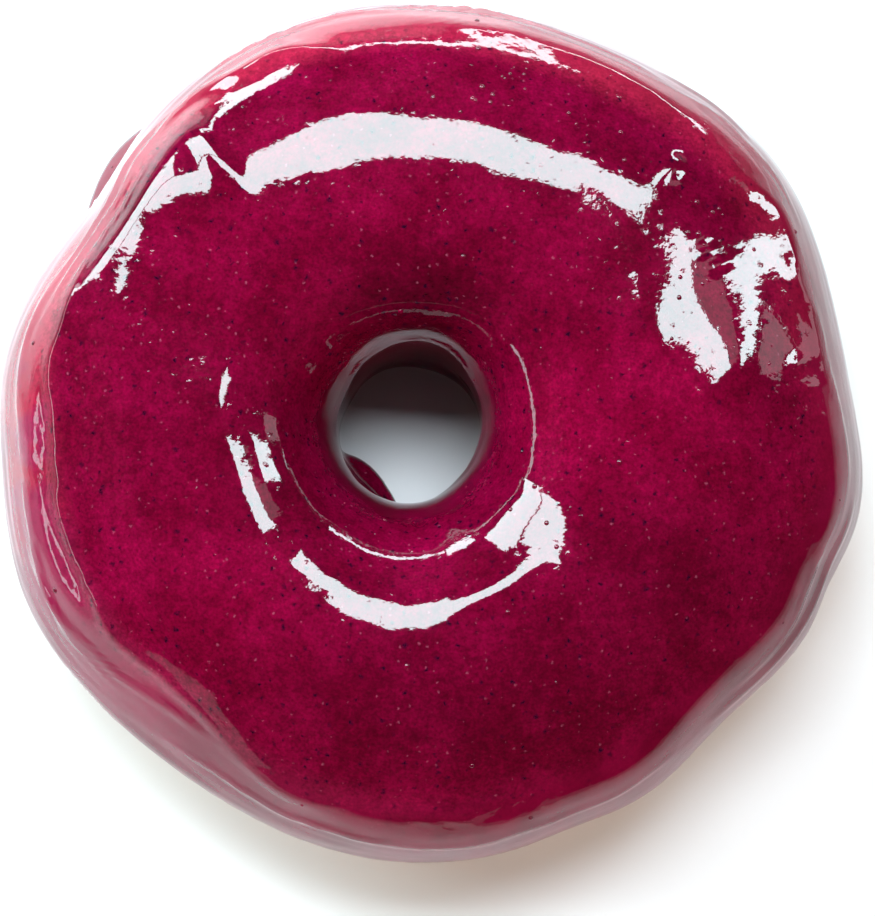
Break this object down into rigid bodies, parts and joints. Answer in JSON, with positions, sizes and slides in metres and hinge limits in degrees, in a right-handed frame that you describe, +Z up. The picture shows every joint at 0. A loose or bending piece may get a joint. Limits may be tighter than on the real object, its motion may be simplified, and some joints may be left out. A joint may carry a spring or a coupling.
{
  "type": "brioche doughnut",
  "caption": "Round ring doughnut of brioche dough with an off-centre hole and a thick glossy berry glaze over the top, the sides and down into the hole.",
  "frame": {"origin": "middle of the footprint's box, on the surface that the doughnut rests on", "axes": "+Z up through the hole; +X to the right and +Y to the top of the reference picture, which looks down on the glazed side"},
  "size_m": [0.1026, 0.1032, 0.0347],
  "materials": {
    "crust": "fried brioche crust, golden brown and slightly oily, paler in a band round the side",
    "glaze": "set berry glaze, deep magenta red with fine dark and pale specks, mirror-like gloss"
  },
  "bodies": {
    "root": {"dough": "crust", "glaze": "glaze"}
  },
  "joints": []
}
